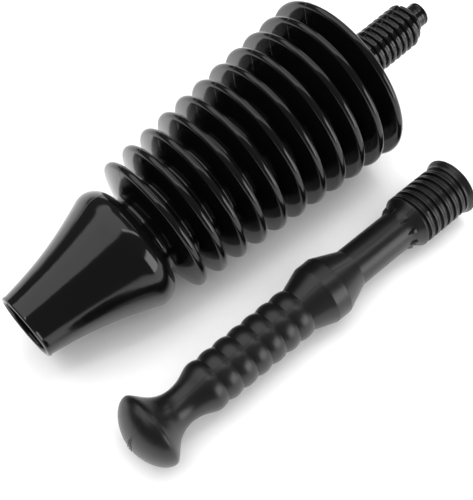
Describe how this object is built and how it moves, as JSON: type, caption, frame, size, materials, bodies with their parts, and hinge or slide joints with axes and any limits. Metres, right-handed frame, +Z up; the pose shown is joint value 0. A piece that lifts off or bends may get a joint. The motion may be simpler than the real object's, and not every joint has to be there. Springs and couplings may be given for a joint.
{
  "type": "toilet plunger",
  "caption": "Bellows toilet plunger lying unscrewed: an accordion bellows with a tapered nozzle and a threaded stub, and a ribbed hollow handle with a screw socket.",
  "frame": {"origin": "bottom centre of the whole layout, on the floor", "axes": "+X along the bellows from the nozzle towards the threaded stub, +Z up, the handle lies on the -Y side"},
  "size_m": [0.359, 0.1894, 0.1266],
  "materials": {
    "bellows_plastic": "glossy black blow-moulded plastic",
    "handle_plastic": "satin black blow-moulded plastic"
  },
  "bodies": {
    "head": {"head_shell": "bellows_plastic", "threaded_stub": "bellows_plastic", "web_10": "bellows_plastic"},
    "fold_10": {"crest_10": "bellows_plastic", "web_09": "bellows_plastic"},
    "fold_09": {"crest_09": "bellows_plastic", "web_08": "bellows_plastic"},
    "fold_08": {"crest_08": "bellows_plastic", "web_07": "bellows_plastic"},
    "fold_07": {"crest_07": "bellows_plastic", "web_06": "bellows_plastic"},
    "fold_06": {"crest_06": "bellows_plastic", "web_05": "bellows_plastic"},
    "fold_05": {"crest_05": "bellows_plastic", "web_04": "bellows_plastic"},
    "fold_04": {"crest_04": "bellows_plastic", "web_03": "bellows_plastic"},
    "fold_03": {"crest_03": "bellows_plastic", "web_02": "bellows_plastic"},
    "fold_02": {"crest_02": "bellows_plastic", "web_01": "bellows_plastic"},
    "fold_01": {"crest_01": "bellows_plastic", "nozzle_collar": "bellows_plastic"},
    "nozzle": {"nozzle_shell": "bellows_plastic"},
    "handle": {"end_knob": "handle_plastic", "ribbed_grip": "handle_plastic", "hand_stop": "handle_plastic", "handle_tube": "handle_plastic", "screw_socket": "handle_plastic"}
  },
  "joints": [
    {"name": "bellows_compress", "type": "slide", "parent": "head", "child": "nozzle", "axis": [0.997, 0, 0.0771], "range_m": [0, 0.0715], "stiffness_N_per_m": 500, "deforming": ["web_01", "web_02", "web_03", "web_04", "web_05", "web_06", "web_07", "web_08", "web_09", "web_10", "nozzle_collar"]},
    {"name": "fold_01_slide", "type": "slide", "parent": "head", "child": "fold_01", "axis": [0.997, 0, 0.0771], "range_m": [0, 0.0652]},
    {"name": "fold_02_slide", "type": "slide", "parent": "head", "child": "fold_02", "axis": [0.997, 0, 0.0771], "range_m": [0, 0.0587]},
    {"name": "fold_03_slide", "type": "slide", "parent": "head", "child": "fold_03", "axis": [0.997, 0, 0.0771], "range_m": [0, 0.0522]},
    {"name": "fold_04_slide", "type": "slide", "parent": "head", "child": "fold_04", "axis": [0.997, 0, 0.0771], "range_m": [0, 0.0457]},
    {"name": "fold_05_slide", "type": "slide", "parent": "head", "child": "fold_05", "axis": [0.997, 0, 0.0771], "range_m": [0, 0.0392]},
    {"name": "fold_06_slide", "type": "slide", "parent": "head", "child": "fold_06", "axis": [0.997, 0, 0.0771], "range_m": [0, 0.0327]},
    {"name": "fold_07_slide", "type": "slide", "parent": "head", "child": "fold_07", "axis": [0.997, 0, 0.0771], "range_m": [0, 0.0262]},
    {"name": "fold_08_slide", "type": "slide", "parent": "head", "child": "fold_08", "axis": [0.997, 0, 0.0771], "range_m": [0, 0.0197]},
    {"name": "fold_09_slide", "type": "slide", "parent": "head", "child": "fold_09", "axis": [0.997, 0, 0.0771], "range_m": [0, 0.0132]},
    {"name": "fold_10_slide", "type": "slide", "parent": "head", "child": "fold_10", "axis": [0.997, 0, 0.0771], "range_m": [0, 0.0067]},
    {"name": "handle_swing", "type": "hinge", "parent": "head", "child": "handle", "pos_m": [0.15227, -0.00131, 0.00424], "axis": [-0.0289, -0.4149, 0.9094], "range_deg": [0, 182.6]}
  ],
  "couplings": [
    {"joint": "fold_01_slide", "follows": "bellows_compress", "ratio": 0.90909},
    {"joint": "fold_02_slide", "follows": "bellows_compress", "ratio": 0.81818},
    {"joint": "fold_03_slide", "follows": "bellows_compress", "ratio": 0.72727},
    {"joint": "fold_04_slide", "follows": "bellows_compress", "ratio": 0.63636},
    {"joint": "fold_05_slide", "follows": "bellows_compress", "ratio": 0.54545},
    {"joint": "fold_06_slide", "follows": "bellows_compress", "ratio": 0.45455},
    {"joint": "fold_07_slide", "follows": "bellows_compress", "ratio": 0.36364},
    {"joint": "fold_08_slide", "follows": "bellows_compress", "ratio": 0.27273},
    {"joint": "fold_09_slide", "follows": "bellows_compress", "ratio": 0.18182},
    {"joint": "fold_10_slide", "follows": "bellows_compress", "ratio": 0.090909}
  ]
}
